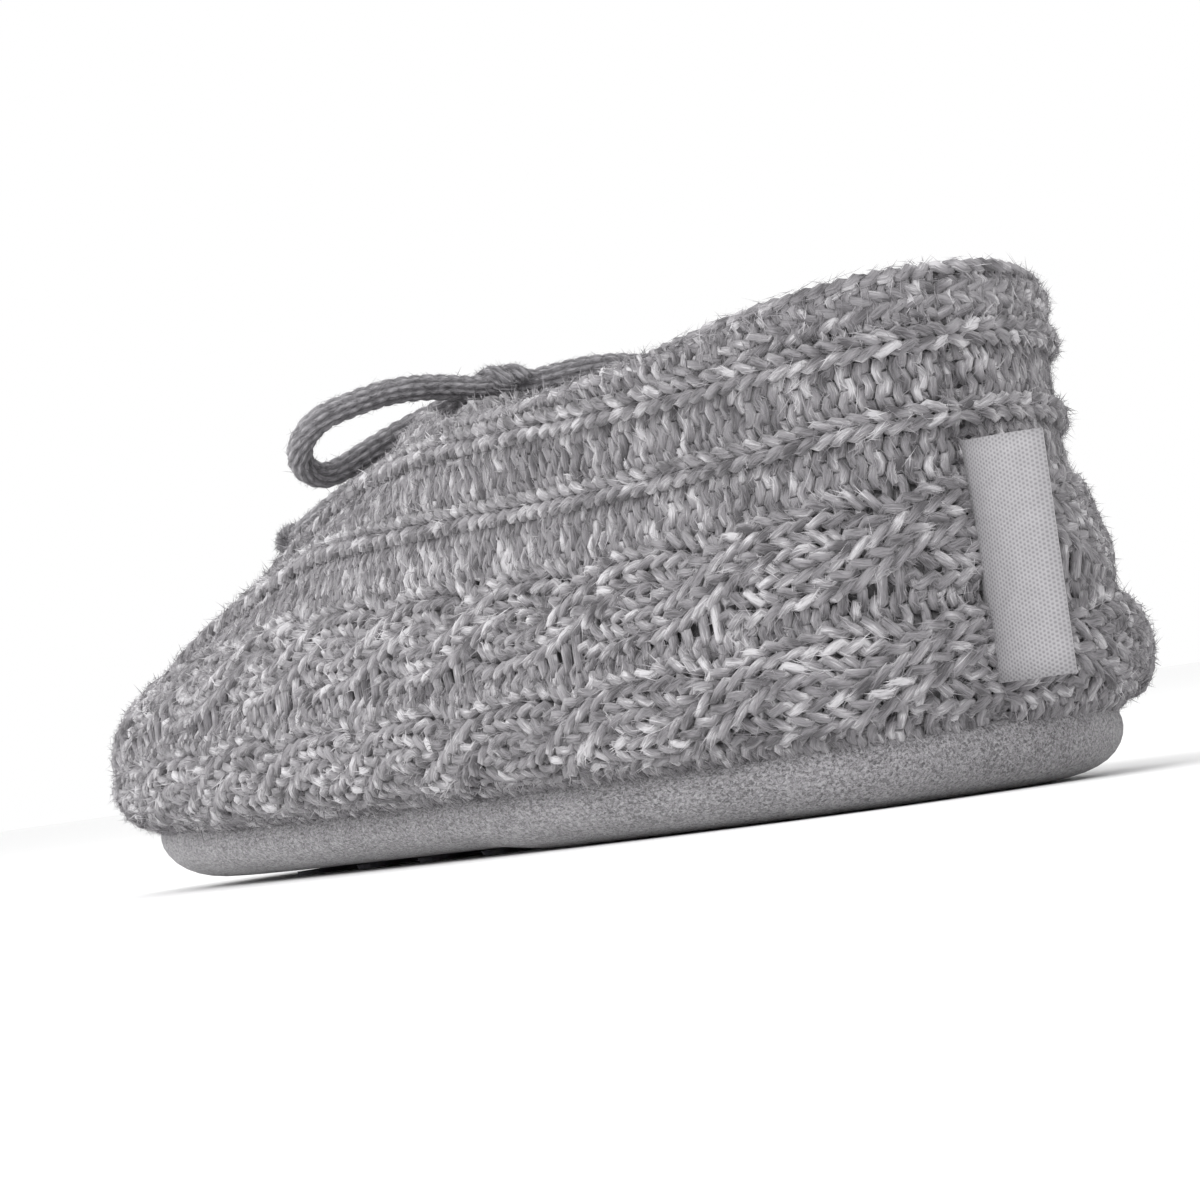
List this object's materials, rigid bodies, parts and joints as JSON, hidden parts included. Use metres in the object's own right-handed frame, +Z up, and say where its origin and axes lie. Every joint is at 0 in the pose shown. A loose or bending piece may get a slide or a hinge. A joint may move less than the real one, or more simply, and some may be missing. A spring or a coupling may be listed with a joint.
{
  "type": "slipper sock",
  "caption": "Low knitted slipper sock with a cable-rib upper, padded suede-like sole with raised grip bars, folded heel tab and a small cord bow at the throat.",
  "frame": {"origin": "middle of the bounding box, on the floor under the sole", "axes": "+Z up from the floor, +Y from toe to heel, +X to the wearer's left"},
  "size_m": [0.106, 0.2558, 0.0749],
  "materials": {
    "marl_knit": "marled grey cable knit, brushed",
    "suede": "grey microsuede, short nap",
    "silicone": "printed silicone, half gloss",
    "ribbon": "woven ribbon",
    "cord": "knitted cord",
    "lining": "brushed lining"
  },
  "bodies": {
    "root": {"upper": "marl_knit", "sole": "suede", "insole": "lining", "grip_bar_left_1": "silicone", "grip_bar_left_2": "silicone", "grip_bar_left_3": "silicone", "grip_bar_left_4": "silicone", "grip_bar_left_5": "silicone", "grip_bar_right_1": "silicone", "grip_bar_right_2": "silicone", "grip_bar_right_3": "silicone", "grip_bar_right_4": "silicone", "grip_bar_right_5": "silicone", "grip_dot_1": "silicone", "grip_dot_2": "silicone", "grip_dot_3": "silicone", "grip_dot_4": "silicone", "heel_tab": "ribbon", "bow_knot": "cord", "bow_loop_left": "cord", "bow_loop_right": "cord", "bow_end_left": "cord", "bow_end_right": "cord"}
  },
  "joints": []
}
